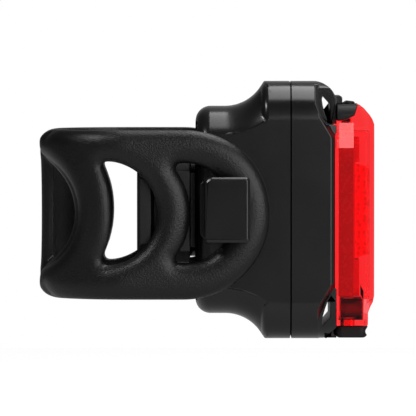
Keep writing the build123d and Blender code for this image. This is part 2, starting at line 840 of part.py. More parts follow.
def strap_half_solid(near):
    """One half of the strap, from the middle of the bend to its loop."""
    sign = -1 if near else 1
    far = strap_outer + overrun
    low, high = sorted((0, sign * far))
    half = strap_band() & brick(-far - strap_outer, body_width * 2, low, high, -strap_width, strap_width)
    half -= across(loop_hole(), low, high) + across(middle_hole(), low, high)
    return half - across(bend_hole(), low, high) if near else half


def housing_seal():
    """The seal in the rabbet of the seam."""
    return ring(seam_x, seam_x + seal_depth - hair, bay_width + 2 * seal_width - 2 * hair,
                body_height - 2 * (housing_wall - seal_width) - 2 * hair,
                body_corner - housing_wall + seal_width, seal_width - hair)


def housing_screws():
    """Four long screws from the rear face into the front housing."""
    head = rear_x + screw_recess
    length = seam_x + screw_reach - head - screw_head_height
    return Compound([screw(head, y, z, screw_head_radius, screw_head_height, screw_radius, length)
                     for y, z in at_corners(screw_y, screw_z)])


def battery():
    """The flat lithium cell with rounded edges."""
    cell = slab(battery_x, battery_front, battery_width, battery_height, battery_corner)
    return fillet(edges_at(cell, battery_x) + edges_at(cell, battery_front), battery_edge)


def battery_foam():
    """The foam between the cell and the screw bosses of the saddle."""
    return slab(foam_x, battery_x, foam_width, foam_height, battery_corner)


def battery_retainer():
    """The bar that holds the cell in, screwed above and below it."""
    height = 2 * (retainer_screw_z + retainer_boss_radius)
    bar = slab(retainer_x, retainer_x + retainer_thickness, retainer_width, height, retainer_boss_radius)
    bar -= slab(retainer_x - overrun, retainer_x + retainer_thickness + overrun, retainer_notch_width,
                retainer_notch_height, lead_diameter, z=lead_start_z)
    for sign in (-1, 1):
        bar -= rod(retainer_x - overrun, retainer_x + retainer_thickness + overrun, 0,
                   sign * retainer_screw_z, retainer_screw_radius + slip)
    return bar


def retainer_screws():
    """Two screws through the retainer."""
    head = retainer_x + retainer_thickness + retainer_screw_head_height
    length = retainer_screw_length + retainer_thickness - slip
    return Compound([screw(head, 0, sign * retainer_screw_z, retainer_screw_head_radius,
                           retainer_screw_head_height, retainer_screw_radius, length, -1)
                     for sign in (-1, 1)])


def lead(y):
    """One battery lead, from the cell's face to the plug."""
    end = face_x - plug_length
    step = (end - battery_front) / 2
    bend = abs(lead_start_z - lead_end_z)
    points = [(battery_front, y, lead_start_z), (battery_front + step - bend, y, lead_start_z),
              (battery_front + step + bend, y, lead_end_z), (end, y, lead_end_z)]
    runs = [math.dist(a, b) for a, b in zip(points, points[1:])]
    turn = math.atan2(bend, 2 * bend)
    radii = [lead_bend_share * min(pair) / math.tan(turn / 2) for pair in zip(runs, runs[1:])]
    print("lead radii", [round(r, 2) for r in radii], "runs", [round(r, 2) for r in runs])
    path = FilletPolyline(*points, radius=min(radii))
    tube = sweep(Plane.YZ.offset(battery_front) * Pos(y, lead_start_z) * Circle(lead_diameter / 2), path)
    area = math.pi * (lead_diameter / 2) ** 2
    print("lead length", round(path.length, 2), "volume over section", round(tube.volume / area, 2))
    return tube


def battery_plug():
    """The battery's plug in its header on the back of the board."""
    return slab(face_x - plug_length, face_x, plug_width, plug_height, plug_corner, z=lead_end_z)


def main_board():
    """The circuit board behind the lens."""
    board = slab(face_x, board_x, board_width, board_height, board_corner)
    for y, z in at_corners(board_screw_y, board_screw_z):
        board -= rod(face_x - overrun, board_x + overrun, y, z, board_screw_radius + slip)
    return board


def board_screws():
    """Four small screws that hold the board to the front housing."""
    head = board_x + board_screw_head_height
    length = board_screw_length + board_thickness
    return Compound([screw(head, y, z, board_screw_head_radius, board_screw_head_height,
                           board_screw_radius, length, -1)
                     for y, z in at_corners(board_screw_y, board_screw_z)])


def control_chip():
    """The driver chip on the back of the board."""
    half = chip_size / 2
    return brick(face_x - chip_thickness, face_x, -half, half, chip_z - half, chip_z + half)


def inductor():
    """The converter's coil on the back of the board."""
    return slab(face_x - coil_thickness, face_x, coil_size, coil_size, coil_corner, coil_y, coil_z)


def capacitors():
    """A row of four chip capacitors on the back of the board."""
    long, wide = capacitor_length / 2, capacitor_width / 2
    pieces = []
    for step in range(capacitor_count):
        y = (step - (capacitor_count - 1) / 2) * capacitor_pitch
        pieces.append(brick(face_x - capacitor_width, face_x, y - wide, y + wide,
                            capacitor_z - long, capacitor_z + long))
    return Compound(pieces)


def main_leds():
    """Two high power emitters in the middle of the board."""
    pieces = []
    for sign in (-1, 1):
        z = sign * led_spacing / 2
        base = slab(board_x, board_x + led_base, led_size, led_size, led_corner, z=z)
        dome = Pos(board_x + led_base, 0, z) * Sphere(led_dome_radius)
        dome &= brick(board_x, board_x + led_size, -led_size, led_size, z - led_size, z + led_size)
        pieces.append(base + dome)
    return Compound(pieces)


def side_leds():
    """Four small emitters that feed the side light guides."""
    long, wide = side_led_length / 2, side_led_width / 2
    pieces = []
    for y, z in at_corners(side_led_y, side_led_spacing / 2):
        pieces.append(brick(board_x, board_x + side_led_height, y - wide, y + wide, z - long, z + long))
    return Compound(pieces)


def led_reflector():
    """The bright plate of two cups over the main emitters."""
    plate = slab(board_x, board_x + cup_depth, cup_plate_width, cup_plate_height, cup_corner)
    plate = offset_inside(plate)
    for sign in (-1, 1):
        z = sign * led_spacing / 2
        cup = Cone(cup_throat_radius + cup_wall, cup_mouth_radius + cup_wall, cup_depth)
        plate += Pos(board_x + cup_depth / 2, 0, z) * (Rot(0, 90, 0) * cup)
    for sign in (-1, 1):
        z = sign * led_spacing / 2
        hole = Cone(cup_throat_radius, cup_mouth_radius, cup_depth)
        plate -= Pos(board_x + cup_depth / 2, 0, z) * (Rot(0, 90, 0) * hole)
        plate -= rod(board_x - overrun, board_x + hair, 0, z, cup_throat_radius)
        plate -= slab(board_x - overrun, board_x + led_base + slip, led_size + 2 * slip,
                      led_size + 2 * slip, led_corner, z=z)
    return plate & slab(board_x, board_x + cup_depth, cup_plate_width, cup_plate_height, cup_corner)


def offset_inside(plate):
    """Hollows the cup plate from the board's side, leaving its front and its rim."""
    hollow = slab(board_x - overrun, board_x + cup_depth - cup_wall, cup_plate_width - 2 * cup_wall,
                  cup_plate_height - 2 * cup_wall, cup_corner - cup_wall)
    return plate - hollow


def side_light_guides():
    """Two clear bars that carry light to the sides of the lens."""
    outer = lens_bay_width / 2 - moving_gap
    inner = outer - guide_thickness
    front = board_x + guide_depth
    bar = brick(board_x, front, inner, outer, -guide_foot, guide_top)
    bar += brick(face_x + guide_skirt_gap, board_x + hair, board_width / 2 + guide_skirt_gap, outer,
                 -guide_foot, guide_top)
    bar -= brick(board_x + guide_step_depth, front + overrun, outer - guide_step_depth,
                 outer + overrun, guide_step_foot, guide_step_top)
    screw_room = board_screw_head_radius + moving_gap
    for sign in (-1, 1):
        bar -= rod(board_x - overrun, board_x + board_screw_head_height + moving_gap, board_screw_y,
                   sign * board_screw_z, screw_room)
    return Compound([bar, mirror(bar, Plane.XZ)])


def panel_frame():
    """The frame that carries the prismatic panel in front of the guides."""
    back = board_x + cup_depth
    top = guide_top
    height = top + guide_foot
    z = (top - guide_foot) / 2
    web = slab(back, back + frame_web, frame_width, height, board_corner, z=z)
    ends = slab(back, back + frame_depth, frame_width, height, board_corner, z=z)
    room = panel_height / 2 + moving_gap
    ends -= brick(back - overrun, back + frame_depth + overrun, -frame_width, frame_width, -room, room)
    plate = web + ends
    return plate - slab(back - overrun, back + frame_depth + overrun, frame_window_width,
                        frame_window_height, frame_window_corner)


def reflector_panel():
    """The prismatic reflector, with slanted sides and rows of small round cells."""
    back = board_x + cup_depth + frame_web
    front = lens_x - lens_wall - seat_gap
    half = panel_height / 2
    near = Plane.YZ.offset(back) * Rectangle(panel_back_width, panel_height)
    far = Plane.YZ.offset(front) * Rectangle(panel_front_width, panel_height - 2 * panel_taper_height)
    panel = loft([near.face(), far.face()], ruled=True)
    cells = []
    run = front - back
    normal = Vector(panel_side_draft, run, 0).normalized()
    for row in range(cell_rows):
        z = (row - (cell_rows - 1) / 2) * cell_pitch
        for column in range(cell_columns):
            share = (column + 0.5) / cell_columns
            spot = Vector(back + run * share, panel_back_width / 2 - panel_side_draft * share, z)
            plane = Plane(origin=spot + normal * cell_depth, z_dir=-normal)
            cell = extrude(plane * Circle(cell_radius), amount=2 * cell_depth)
            cells += [cell, mirror(cell, Plane.XZ)]
        for column in range(front_cell_columns):
            y = (column - (front_cell_columns - 1) / 2) * cell_pitch
            cells.append(rod(front - cell_depth, front + overrun, y, z, cell_radius))
    return panel - cells


def usb_shell():
    """The metal shell of the charging socket, mouth down."""
    foot = -lens_foot
    body = brick(board_x, board_x + socket_depth, -socket_width / 2, socket_width / 2, foot,
                 foot + socket_height)
    long_edges = body.edges().filter_by(Axis.Z)
    body = fillet(long_edges, socket_corner)
    inner = brick(board_x + socket_wall, board_x + socket_depth - socket_wall,
                  socket_wall - socket_width / 2, socket_width / 2 - socket_wall, foot - overrun,
                  foot + socket_height - socket_wall)
    return body - fillet(inner.edges().filter_by(Axis.Z), socket_corner - socket_wall)


def usb_tongue():
    """The insulator inside the socket."""
    middle = board_x + socket_depth / 2
    half = tongue_thickness / 2
    top = socket_height - socket_wall - lens_foot
    blade = brick(middle - half, middle + half, -tongue_width / 2, tongue_width / 2,
                  tongue_recess - lens_foot, top)
    base_half = socket_depth / 2 - socket_wall - hair
    base = brick(middle - base_half, middle + base_half, -tongue_width / 2, tongue_width / 2,
                 top - tongue_thickness, top)
    return blade + base


def usb_shroud():
    """The dark holder around the socket in the foot of the lens."""
    low = lens_side_wall - lens_foot
    body = slab(board_x, board_x + shroud_length, shroud_width, shroud_height, board_corner,
                z=low + shroud_height / 2)
    return body - brick(board_x - overrun, board_x + socket_depth + slip, -socket_width / 2 - slip,
                        socket_width / 2 + slip, low - overrun, low + shroud_height + overrun)


def port_cover():
    """The rubber flap under the socket, round about its hinge line, with its plug."""
    low = cover_top - cover_thickness
    front = lens_x - cover_front_setback
    radius = cover_thickness / 2
    body = Pos((cover_pivot_x + front) / 2, (low + cover_top) / 2) * Rectangle(
        front - cover_pivot_x, cover_thickness)
    body = fillet(body.vertices().group_by(Axis.X)[-1].sort_by(Axis.Y)[0], cover_corner)
    body += Pos(cover_pivot_x, cover_pivot_z) * Circle(radius)
    body -= Pos(front + grip_inset, cover_pivot_z) * Circle(grip_radius)
    flap = across(body, -cover_width / 2, cover_width / 2)
    depth = front - cover_pivot_x + radius
    plan = Pos(front - depth / 2, 0) * RectangleRounded(depth, cover_width, cover_plan_corner)
    flap &= Pos(0, 0, low - overrun) * extrude(plan, amount=cover_thickness + 2 * overrun)
    stub_x = cover_pivot_x + stub_from_pivot
    stub = brick(stub_x, stub_x + stub_depth, -stub_width / 2, stub_width / 2, cover_top - hair,
                 cover_top + stub_height)
    return flap + stub


def cover_anchor():
    """The fixed root of the port cover, under the front housing."""
    front = cover_pivot_x - cover_thickness / 2 - anchor_gap
    low = cover_top - cover_thickness
    body = brick(front - anchor_length, front, -cover_width / 2, cover_width / 2, low,
                 low + anchor_height)
    return body - front_blank()


write("rear_housing", rear_housing())
write("front_housing", front_housing())
write("housing_seal", housing_seal())
write("housing_screws", housing_screws())
write("saddle", saddle())
write("saddle_pad", saddle_pad())
write("saddle_screws", saddle_screws())
write("strap_fixed_half", strap_half_solid(False))
write("strap_free_half", strap_half_solid(True))
write("battery", battery())
write("battery_foam", battery_foam())
write("battery_retainer", battery_retainer())
write("retainer_screws", retainer_screws())
write("battery_lead_red", lead(lead_spacing / 2))
write("battery_lead_black", lead(-lead_spacing / 2))
write("battery_plug", battery_plug())
write("main_board", main_board())
write("board_screws", board_screws())
write("control_chip", control_chip())
write("inductor", inductor())
write("capacitors", capacitors())
write("main_leds", main_leds())
write("side_leds", side_leds())
write("led_reflector", led_reflector())
write("side_light_guides", side_light_guides())
write("panel_frame", panel_frame())
write("reflector_panel", reflector_panel())
write("lens_seal", rim(face_x - lens_rim_depth - lens_seal_thickness, face_x - lens_rim_depth))
write("lens", lens())
write("usb_shell", usb_shell())
write("usb_tongue", usb_tongue())
write("usb_shroud", usb_shroud())
write("tact_switch", tact_switch())
write("switch_plunger", switch_plunger())
write("button_pad", button_pad())
write("power_button", power_button())
write("port_cover", port_cover())
write("cover_anchor", cover_anchor())
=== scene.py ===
"""Strap-on bike rear light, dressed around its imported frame.

Lengths are in metres, and MM is one millimetre.
"""

import math

import bmesh
import bpy
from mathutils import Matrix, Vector
from mathutils.bvhtree import BVHTree
from mathutils.kdtree import KDTree


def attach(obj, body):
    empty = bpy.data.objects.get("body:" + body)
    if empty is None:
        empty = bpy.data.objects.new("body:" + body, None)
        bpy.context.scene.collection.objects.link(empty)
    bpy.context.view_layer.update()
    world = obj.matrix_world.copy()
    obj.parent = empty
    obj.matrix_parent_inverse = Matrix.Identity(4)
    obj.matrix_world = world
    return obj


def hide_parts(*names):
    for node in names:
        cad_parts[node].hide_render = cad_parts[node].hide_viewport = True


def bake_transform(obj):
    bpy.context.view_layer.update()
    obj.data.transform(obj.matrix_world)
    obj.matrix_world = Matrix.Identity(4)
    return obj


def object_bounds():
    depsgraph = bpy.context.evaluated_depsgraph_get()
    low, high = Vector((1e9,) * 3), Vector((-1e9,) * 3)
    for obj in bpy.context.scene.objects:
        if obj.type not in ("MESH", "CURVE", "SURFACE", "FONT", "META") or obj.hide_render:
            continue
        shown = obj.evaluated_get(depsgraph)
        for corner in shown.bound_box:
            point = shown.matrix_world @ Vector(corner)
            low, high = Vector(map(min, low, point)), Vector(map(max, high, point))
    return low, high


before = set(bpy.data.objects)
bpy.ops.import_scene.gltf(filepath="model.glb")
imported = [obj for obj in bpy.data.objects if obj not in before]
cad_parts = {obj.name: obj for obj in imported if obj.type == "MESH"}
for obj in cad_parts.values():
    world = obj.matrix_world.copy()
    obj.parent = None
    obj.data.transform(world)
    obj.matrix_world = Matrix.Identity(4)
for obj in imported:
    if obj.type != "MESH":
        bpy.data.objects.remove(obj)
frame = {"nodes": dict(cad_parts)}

cad_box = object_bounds()

MM = 0.001
PER_MM = 1000.0
nodes = frame["nodes"]

# Camera: side view of the light from the near side, through a long lens
camera_target = Vector((18.1, -4, 0.3)) * MM
camera_distance = 1155.6 * MM
camera_elevation = 1.9
camera_lens = 500
camera_sensor = 36

# Floor, lamps and what shines in the black plastic
floor_drop = 34 * MM
floor_size = 1.1
floor_glow = 0.9
floor_gloss = 0.25
floor_colour = (0.3, 0.3, 0.3, 1)
daylight = 0.09
gloss_near = 0.07
gloss_far = 0.5
left_share = 0.15
gloss_from, gloss_to = -0.6, 0.9
share_from, share_to = -0.5, 0.3
top_lamp = (Vector((0.13, 0.03, 0.46)), (0.24, 0.5), 1.7, Vector((0.13, 0.03, 0)))
side_lamp = (Vector((0.42, -0.6, 0.04)), (0.6, 0.8), 4.6, Vector())
left_lamp = (Vector((-0.354, -0.302, 0.381)), (0.12, 0.12), 1.1, Vector())
window_lamp = (Vector((0.105, -0.6, 0.1)), (0.08, 0.08), 0.07, Vector((0.045, 0, 0.015)))

# Edges of the moulded pieces
merge_distance = 2e-6
flat_angle = math.radians(0.6)
crease_angle = math.radians(24)
housing_edge = 0.16 * MM
saddle_edge = 0.18 * MM
lens_edge = 0.14 * MM
rubber_edge = 0.22 * MM
key_edge = 0.12 * MM
edge_segments = 2

# Sockets of a Mix node for colours
mix_share, mix_low, mix_high, mix_colour = 0, 6, 7, 2

# Seam between the housings
seam_x = 34.58 * MM
seam_rim = 0.2 * MM
seam_depth = 0.6 * MM
body_side = 14.4 * MM
body_top = 25.6 * MM
body_corner = 7.6 * MM

# Heads of the strap hooks
hook_face = 20.3 * MM
hook_depth = 2.2 * MM
hook_rear = 17.5 * MM
hook_top = 6.9 * MM
hook_bevel = 0.5 * MM
hook_cut = 1.7 * MM
hook_slack = 0.02 * MM
facet_lean = 0.5

# Slanted facet in each side of the lens, over the light guide; it also bounds the lens's painted
# red glow
lens_side = 13.2 * MM
facet_back = 44.1 * MM
facet_front = 47.0 * MM
facet_foot = 12.5 * MM
facet_top = 17.5 * MM
facet_depth = 0.44 * MM
facet_wall = 0.12 * MM
side_normal = 0.99

# Where the lens is one thickness deep: its front wall, its crown and its foot; and the rear
# strip, behind which the lens has a painted red glow; in millimetres
front_wall_x = 50.1
crown_z = 16.0
sole_z = -21.6
rear_edge_x = 44.0

# Strap
strap_voxel = 0.36 * MM
strap_bend_x = 1.9 * MM
strap_outer = 17.8 * MM
strap_thickness = 3.1 * MM
dome_width = 3.5 * MM
dome_depth = 1.8 * MM
dome_passes = 5
relax_share = 0.5
waist_depth = 0.4 * MM
waist_reach = 9 * MM
waist_height = 11.3 * MM
waist_z = -0.4 * MM
crest_foot = 10 * MM
crest_height = 7 * MM
crest_drop = 0.6 * MM
outline_step = 0.25 * MM
outline_angle = math.radians(50)
outline_depth = strap_thickness / 4

# Rubber heel behind the port cover's hinge, in the side view
hinge = Vector((44.4001, 0, -24.2)) * MM
heel_half_width = 9 * MM
heel_foot = -25.4 * MM
heel_top = -23.85 * MM
heel_back = 41.25 * MM
heel_shoulder = 42.75 * MM
heel_hollow = 1.26 * MM
heel_turns = (165, 180, 195, 210, 225, 235)


class Value:
    """One output of a node, with arithmetic that adds Math nodes."""

    def __init__(self, nodes, socket):
        self.nodes = nodes
        self.socket = socket

    def maths(self, operation, *terms):
        return self.nodes.node("Math", {"operation": operation}, dict(enumerate(terms)))

    def __add__(self, other):
        return self.maths("ADD", self, other)

    def __radd__(self, other):
        return self.maths("ADD", other, self)

    def __sub__(self, other):
        return self.maths("SUBTRACT", self, other)

    def __mul__(self, other):
        return self.maths("MULTIPLY", self, other)

    def __rmul__(self, other):
        return self.maths("MULTIPLY", other, self)

    def __gt__(self, other):
        return self.maths("GREATER_THAN", self, other)

    def __lt__(self, other):
        return self.maths("LESS_THAN", self, other)

    def most(self, other):
        """The larger of two values."""
        return self.maths("MAXIMUM", self, other)

    def fraction(self):
        """What is left of the value after its whole part."""
        return self.maths("FRACT", self)


class Nodes:
    """A node tree, and the one way in which nodes are added to it."""

    def __init__(self, tree):
        self.tree = tree

    def join(self, value, socket):
        if isinstance(value, Value):
            self.tree.links.new(value.socket, socket)
        else:
            socket.default_value = value

    def node(self, kind, settings=None, inputs=None, output=0):
        """Adds a node: its settings first, then the values or links of its sockets."""
        made = self.tree.nodes.new("ShaderNode" + kind)
        for name, value in (settings or {}).items():
            setattr(made, name, value)
        for name, value in (inputs or {}).items():
            self.join(value, made.inputs[name])
        return Value(self, made.outputs[output]) if made.outputs else None

    def ray(self, kind):
        """1 for rays of one kind, such as Camera, and 0 for the rest."""
        return self.node("LightPath", output=f"Is {kind} Ray")

    def seen(self):
        """1 for what the camera sees, also through the lens."""
        return self.ray("Camera").most(self.ray("Transmission"))


class Finish(Nodes):
    """One material of the light."""

    def __init__(self, name, colour, roughness):
        self.name = name
        self.material = bpy.data.materials.new(name)
        self.material.use_nodes = True
        super().__init__(self.material.node_tree)
        self.shader = self.tree.nodes["Principled BSDF"]
        self.set("Base Color", (*colour, 1))
        self.set("Roughness", roughness)
        self.colour = colour

    def set(self, name, value):
        """Sets or links one socket of the shader."""
        self.join(value, self.shader.inputs[name])

    def place(self):
        """The point on the object, in millimetres."""
        point = self.node("TexCoord", output="Object")
        return self.node("VectorMath", {"operation": "SCALE"}, {0: point, "Scale": PER_MM})

    def axis(self, index):
        """One coordinate of the point, in millimetres."""
        return self.node("SeparateXYZ", None, {0: self.place()}, output=index)

    def noise(self, per_mm, detail=3, stretch=None):
        """Noise with so many patches to a millimetre, about 0.5 on average."""
        point = self.place()
        if stretch:
            point = self.node("Mapping", {"vector_type": "POINT"},
                              {"Vector": point, "Scale": stretch})
        return self.node("TexNoise", None, {"Vector": point, "Scale": per_mm, "Detail": detail})

    def cells(self, per_mm, randomness=1.0):
        """Distance from the nearest of many scattered points."""
        return self.node("TexVoronoi", None, {"Vector": self.place(), "Scale": per_mm,
                                              "Randomness": randomness})

    def between(self, mask, low, high):
        """A colour that runs from low to high with the mask."""
        return self.node("Mix", {"data_type": "RGBA"}, {
            mix_share: mask, mix_low: (*low, 1), mix_high: (*high, 1)}, output=mix_colour)

    def vary_roughness(self, mask, low, high):
        self.set("Roughness", low + mask * (high - low))

    def vary_colour(self, mask, spread):
        low = [channel * (1 - spread) for channel in self.colour]
        high = [min(1, channel * (1 + spread)) for channel in self.colour]
        self.set("Base Color", self.between(mask, low, high))

    def bump(self, height, depth_mm, strength=1.0):
        """Raises the surface by the height times a depth in millimetres."""
        self.set("Normal", self.node("Bump", None, {"Height": height, "Distance": depth_mm * MM,
                                                    "Strength": strength}))


def housing_plastic():
    """Satin black polycarbonate, spark eroded so finely that only its highlights show it."""
    finish = Finish("housing_plastic", (0.0075, 0.0075, 0.008), 0.22)
    grain = finish.noise(6)
    patches = finish.noise(0.12)
    finish.vary_colour(patches, 0.15)
    finish.vary_roughness(0.6 * patches + 0.4 * grain, 0.17, 0.28)
    finish.bump(grain, 0.003)
    finish.set("Specular IOR Level", 0.5)
    return finish


def saddle_plastic():
    """Harder matt nylon of the saddle."""
    finish = Finish("saddle_plastic", (0.007, 0.007, 0.0075), 0.36)
    grain = finish.noise(9)
    finish.vary_colour(finish.noise(0.2), 0.2)
    finish.vary_roughness(grain, 0.3, 0.44)
    finish.bump(grain, 0.01)
    finish.set("Specular IOR Level", 0.4)
    return finish


def strap_silicone():
    """Matt black silicone with the fine speckle of its mould."""
    finish = Finish("strap_silicone", (0.005, 0.005, 0.0053), 0.4)
    speckle = finish.noise(2.8, detail=5)
    patches = finish.noise(0.15)
    finish.vary_colour(speckle, 0.8)
    finish.vary_roughness(0.5 * patches + 0.5 * speckle, 0.29, 0.45)
    finish.bump(speckle, 0.08)
    finish.set("Specular IOR Level", 0.4)
    return finish


def rubber(name, colour, roughness):
    """Matt rubber with a fine grain."""
    finish = Finish(name, colour, roughness)
    grain = finish.noise(8, detail=4)
    finish.vary_colour(grain, 0.25)
    finish.vary_roughness(grain, roughness - 0.06, roughness + 0.08)
    finish.bump(grain, 0.01)
    finish.set("Specular IOR Level", 0.2)
    return finish


def grip_rubber():
    """The lining of the saddle, with fine ribs along the post's circle."""
    finish = rubber("grip_rubber", (0.02, 0.02, 0.021), 0.7)
    ribs = (finish.axis(2) * 0.8).fraction() > 0.5
    finish.bump(ribs, 0.05)
    return finish


def lens_clear_red():
    """Clear red polycarbonate, deeper in the front wall, which is seen edge on. Its emission is
    painted light: a red glow over the side windows and the rear strip, and a faint one elsewhere.
    """
    finish = Finish("lens_clear_red", (0.98, 0.14, 0.15), 0.02)
    waves = finish.noise(0.25, detail=1)
    along = finish.axis(0)
    height = finish.axis(2)
    solid = ((height > crown_z) + (height < sole_z)).most(along > front_wall_x)
    finish.set("Base Color", finish.between(solid, (0.98, 0.13, 0.14), (0.95, 0.03, 0.032)))
    finish.vary_roughness(waves, 0.01, 0.035)
    finish.bump(waves, 0.015, 0.5)
    finish.set("Transmission Weight", 1.0)
    finish.set("IOR", 1.03)
    window = (height > facet_foot * PER_MM) * (height < facet_top * PER_MM)
    window = window * (along < facet_front * PER_MM)
    finish.set("Coat Weight", 0.07 + 0.93 * window)
    finish.set("Coat IOR", 1.5)
    finish.set("Coat Roughness", 0.02)
    # Painted light: the lens glows red over the facet window and behind the rear strip, standing
    # in for the lit guide, and faintly everywhere else
    glow = window.most(along < rear_edge_x)
    finish.set("Emission Color", finish.between(glow, (0, 0.004, 0.0045), (0.4, 0.015, 0.017)))
    finish.set("Emission Strength", 1.0)
    return finish


def guide_clear_red():
    """Milky red acrylic bars."""
    finish = Finish("guide_clear_red", (0.27, 0.02, 0.024), 0.25)
    finish.vary_colour(finish.noise(0.16, stretch=(0.2, 1, 1)), 0.22)
    finish.vary_roughness(finish.noise(1.5), 0.18, 0.35)
    finish.set("Coat Weight", 0.6)
    return finish


def frame_red():
    """Darker red moulding of the panel's frame."""
    finish = Finish("frame_red", (0.45, 0.02, 0.023), 0.35)
    finish.vary_colour(finish.noise(0.5), 0.25)
    finish.vary_roughness(finish.noise(3), 0.25, 0.45)
    return finish


def reflector_red():
    """Bright red prismatic panel: a close net of three sided prisms."""
    finish = Finish("reflector_red", (0.8, 0.035, 0.035), 0.12)
    net = finish.cells(0.9, randomness=0.6)
    finish.vary_colour(net, 0.5)
    finish.bump(net, 0.25)
    finish.set("Coat Weight", 1.0)
    return finish


def reflector_bright():
    """Aluminised cups with the faint rings of their tool."""
    finish = Finish("reflector_bright", (0.86, 0.86, 0.87), 0.12)
    finish.vary_roughness(finish.noise(1.2), 0.06, 0.2)
    finish.bump(finish.noise(3), 0.004)
    finish.set("Metallic", 1.0)
    return finish


def steel(name, colour, roughness):
    """Bright steel, finely brushed."""
    finish = Finish(name, colour, roughness)
    brush = finish.noise(4, stretch=(0.15, 1, 1))
    finish.vary_roughness(brush, roughness - 0.08, roughness + 0.12)
    finish.bump(brush, 0.004)
    finish.set("Metallic", 1.0)
    return finish


def board_laminate():
    """White masked board with copper tracks just under the mask."""
    finish = Finish("board_laminate", (0.62, 0.63, 0.6), 0.4)
    lines = (finish.axis(2) * 0.55 + finish.noise(0.12) * 2.0).fraction()
    tracks = (lines > 0.32) * (lines < 0.58)
    finish.set("Base Color", finish.between(tracks, (0.62, 0.63, 0.6), (0.5, 0.52, 0.47)))
    finish.bump(tracks, 0.03)
    finish.vary_roughness(finish.noise(2), 0.3, 0.5)
    return finish


def led_package():
    """Yellow phosphor dome on a white package."""
    finish = Finish("led_package", (0.85, 0.82, 0.7), 0.2)
    heart = finish.noise(0.8, detail=1)
    finish.set("Base Color", finish.between(heart, (0.9, 0.88, 0.8), (0.92, 0.7, 0.16)))
    finish.set("Coat Weight", 0.8)
    return finish


def cell_wrap():
    """Shrunk blue film round the cell, with faint wrinkles towards its ends."""
    finish = Finish("cell_wrap", (0.03, 0.12, 0.34), 0.3)
    wrinkles = finish.noise(0.7, stretch=(1, 0.3, 2.4))
    finish.vary_colour(wrinkles, 0.15)
    finish.vary_roughness(wrinkles, 0.2, 0.42)
    finish.bump(wrinkles, 0.15)
    return finish


def foam():
    """Open grey foam."""
    finish = Finish("foam", (0.09, 0.09, 0.095), 0.95)
    pores = finish.cells(2.6)
    finish.vary_colour(pores, 0.6)
    finish.bump(pores, 0.3)
    return finish


def moulded(name, colour, roughness):
    """A small plain moulding with a slight flow pattern."""
    finish = Finish(name, colour, roughness)
    flow = finish.noise(0.9)
    finish.vary_colour(flow, 0.12)
    finish.vary_roughness(flow, roughness - 0.06, roughness + 0.1)
    finish.bump(finish.noise(7), 0.006)
    return finish


finishes = {finish.name: finish.material for finish in (
    housing_plastic(), saddle_plastic(), strap_silicone(), grip_rubber(), lens_clear_red(),
    guide_clear_red(), frame_red(), reflector_red(), reflector_bright(), board_laminate(),
    led_package(), cell_wrap(), foam(),
    rubber("button_rubber", (0.01, 0.01, 0.0105), 0.45),
    rubber("cover_rubber", (0.011, 0.011, 0.0115), 0.45),
    rubber("seal_silicone", (0.03, 0.03, 0.032), 0.6),
    steel("screw_steel", (0.55, 0.55, 0.56), 0.28),
    steel("socket_steel", (0.66, 0.65, 0.62), 0.22),
    moulded("retainer_nylon", (0.5, 0.5, 0.47), 0.5),
    moulded("lead_red", (0.5, 0.02, 0.02), 0.45),
    moulded("lead_black", (0.02, 0.02, 0.02), 0.45),
    moulded("plug_nylon", (0.75, 0.73, 0.66), 0.4),
    moulded("chip_epoxy", (0.02, 0.02, 0.022), 0.55),
    moulded("capacitor_ceramic", (0.42, 0.29, 0.17), 0.45),
    moulded("insulator_black", (0.07, 0.028, 0.028), 0.45),
)}


# The record's material slot of each node, which is its imported material's name
slots = {name: node.material_slots[0].name for name, node in nodes.items()}


def placed(name, data):
    """Adds an object to the scene."""
    made = bpy.data.objects.new(name, data)
    bpy.context.scene.collection.objects.link(made)
    return made


def dress(name, mesh, body, *replaced):
    """Makes a finished piece of a mesh, in the finish and the place of the nodes it replaces."""
    piece = placed(name, mesh)
    mesh.materials.clear()
    mesh.materials.append(finishes[slots[replaced[0]]])
    for face in mesh.polygons:
        face.use_smooth = True
    if body:
        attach(piece, body)
    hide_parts(*replaced)
    return piece


def shade_evenly(piece):
    """Lets the large faces of a piece set its shading, apart from its sharp edges."""
    piece.modifiers.new("even shading", "WEIGHTED_NORMAL").keep_sharp = True


def merged(node):
    """A bmesh of a node's own mesh, its doubles merged and its flat faces made whole."""
    shape = bmesh.new()
    shape.from_mesh(nodes[node].data)
    bmesh.ops.remove_doubles(shape, verts=shape.verts, dist=merge_distance)
    bmesh.ops.dissolve_limit(shape, angle_limit=flat_angle, verts=shape.verts,
                             edges=shape.edges)
    return shape


def at_seam(edge):
    """Whether an edge runs along the housings' seam, where the groove stays sharp."""
    return all(abs(end.co.x - seam_x) < seam_rim for end in edge.verts)


def soften(shape, width):
    """Rounds all sharp edges but the seam's, never further than half a width from the surface."""
    surface = BVHTree.FromBMesh(shape)
    sharp = [edge for edge in shape.edges
             if edge.is_manifold and edge.calc_face_angle() > crease_angle]
    rounded = [edge for edge in sharp if not at_seam(edge)]
    for edge in sharp:
        if at_seam(edge):
            edge.smooth = False
    bmesh.ops.bevel(shape, geom=rounded, offset=width, offset_type="OFFSET",
                    segments=edge_segments, profile=0.5, affect="EDGES", material=-1,
                    clamp_overlap=False)
    for vertex in shape.verts:
        nearest, _, _, distance = surface.find_nearest(vertex.co)
        if distance > width / 2:
            vertex.co = nearest


def finished_mesh(name, shape):
    """Turns a bmesh into a mesh."""
    mesh = bpy.data.meshes.new(name)
    shape.to_mesh(mesh)
    shape.free()
    return mesh


def softened_piece(node, body, width, reshape=None):
    """A node's own shape with its edges rounded, after any change of its own."""
    shape = merged(node)
    if reshape:
        reshape(shape)
    soften(shape, width)
    shade_evenly(dress("soft_" + node, finished_mesh(node, shape), body, node))


